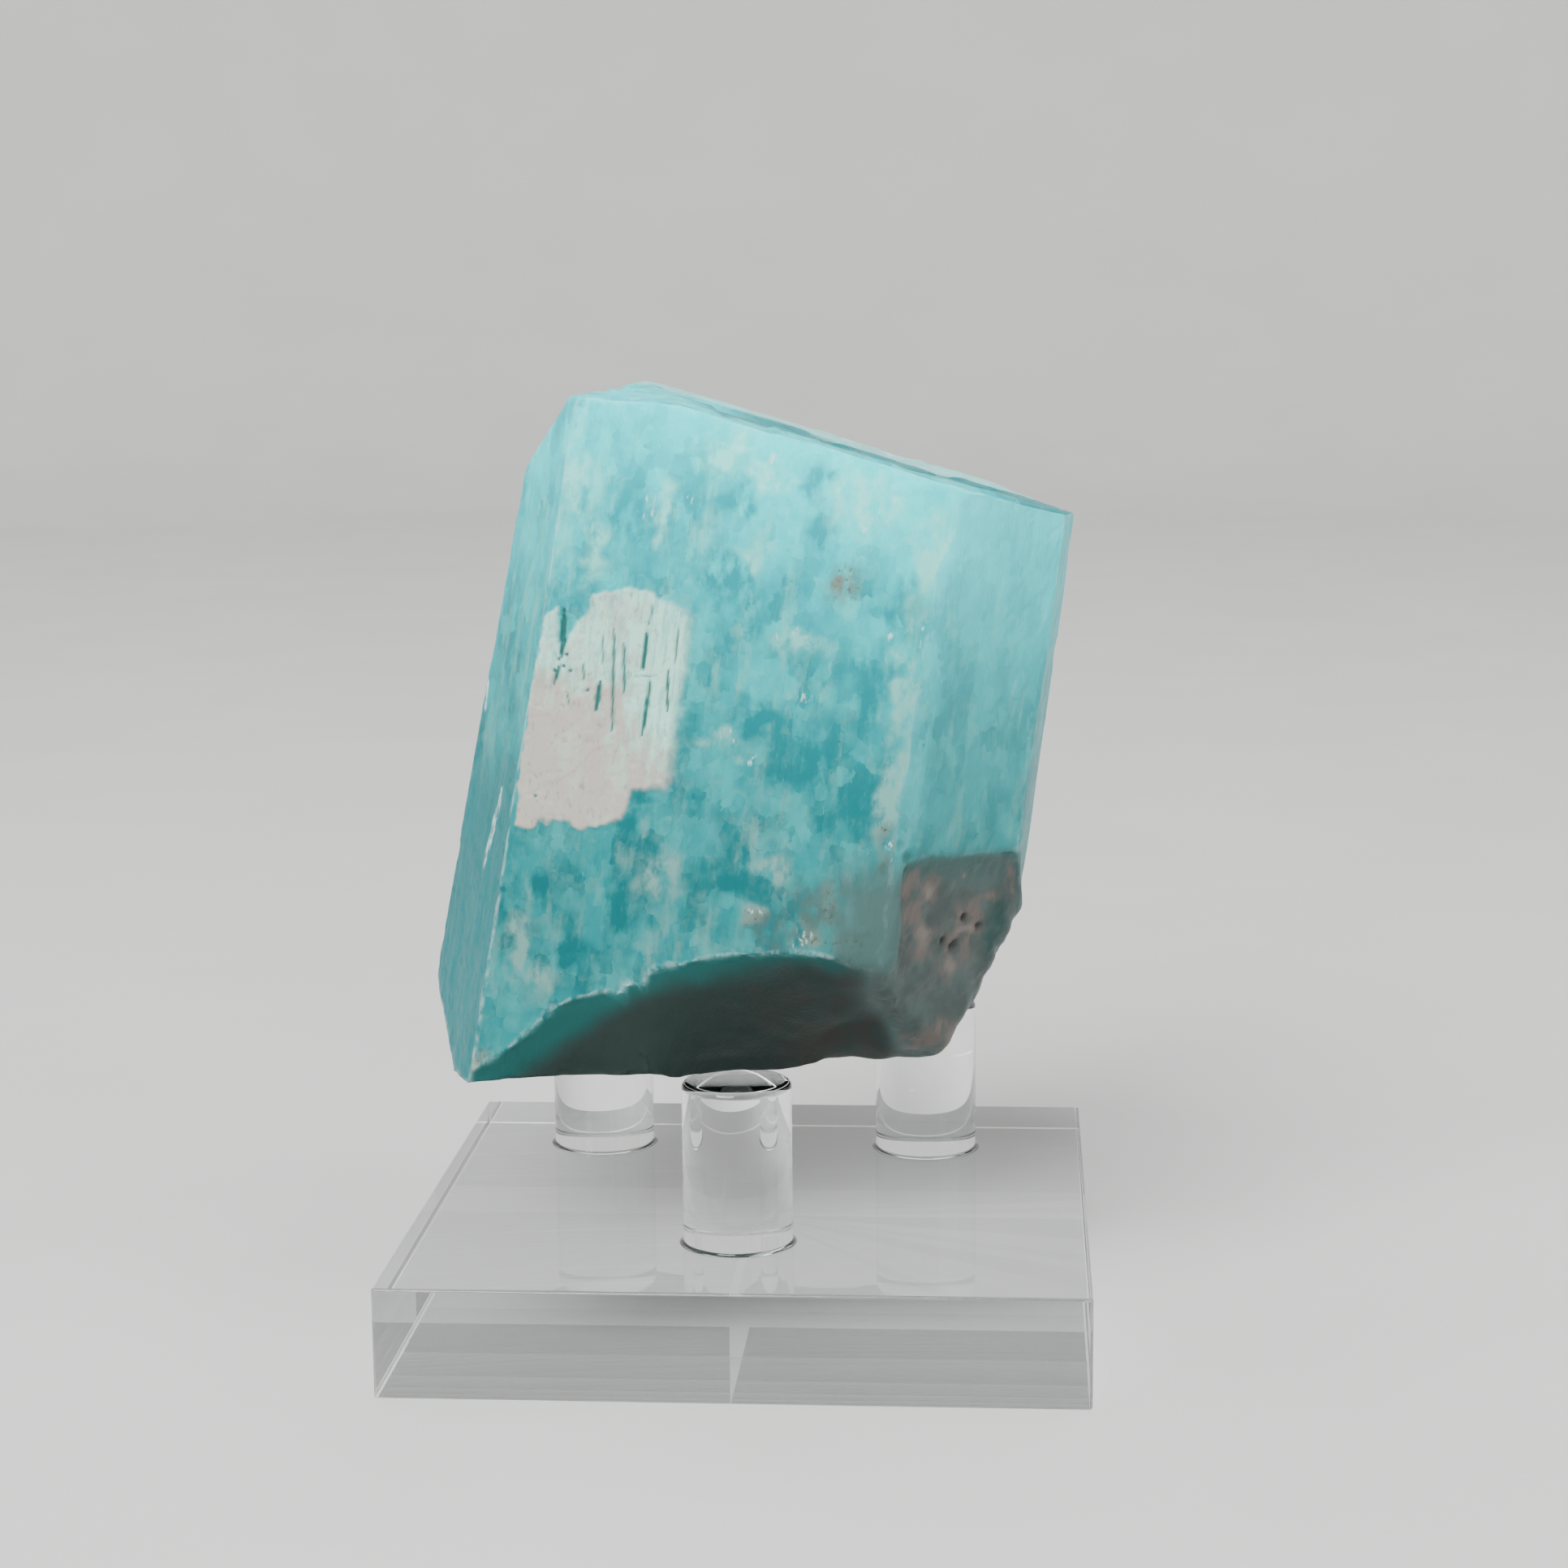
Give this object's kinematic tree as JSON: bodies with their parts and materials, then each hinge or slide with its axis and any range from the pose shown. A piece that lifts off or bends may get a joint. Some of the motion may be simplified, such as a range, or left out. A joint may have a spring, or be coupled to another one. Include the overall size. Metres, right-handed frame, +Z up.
{
  "type": "amazonite crystal on a clear stand",
  "caption": "Rough blue-green amazonite crystal, a blocky tapering prism with a broken base, resting on a clear acrylic block with upright pegs.",
  "frame": {"origin": "centre of the underside of the stand's block", "axes": "+Z up; the crystal's main face looks towards -Y, and +X is to the right of someone who faces it"},
  "size_m": [0.05, 0.05, 0.0692],
  "materials": {
    "amazonite": "satin blue-green feldspar with pale streaks",
    "acrylic": "clear polished"
  },
  "bodies": {
    "root": {"amazonite_crystal": "amazonite", "base_block": "acrylic", "post_front": "acrylic", "post_back_right": "acrylic", "post_back_left": "acrylic"}
  },
  "joints": []
}
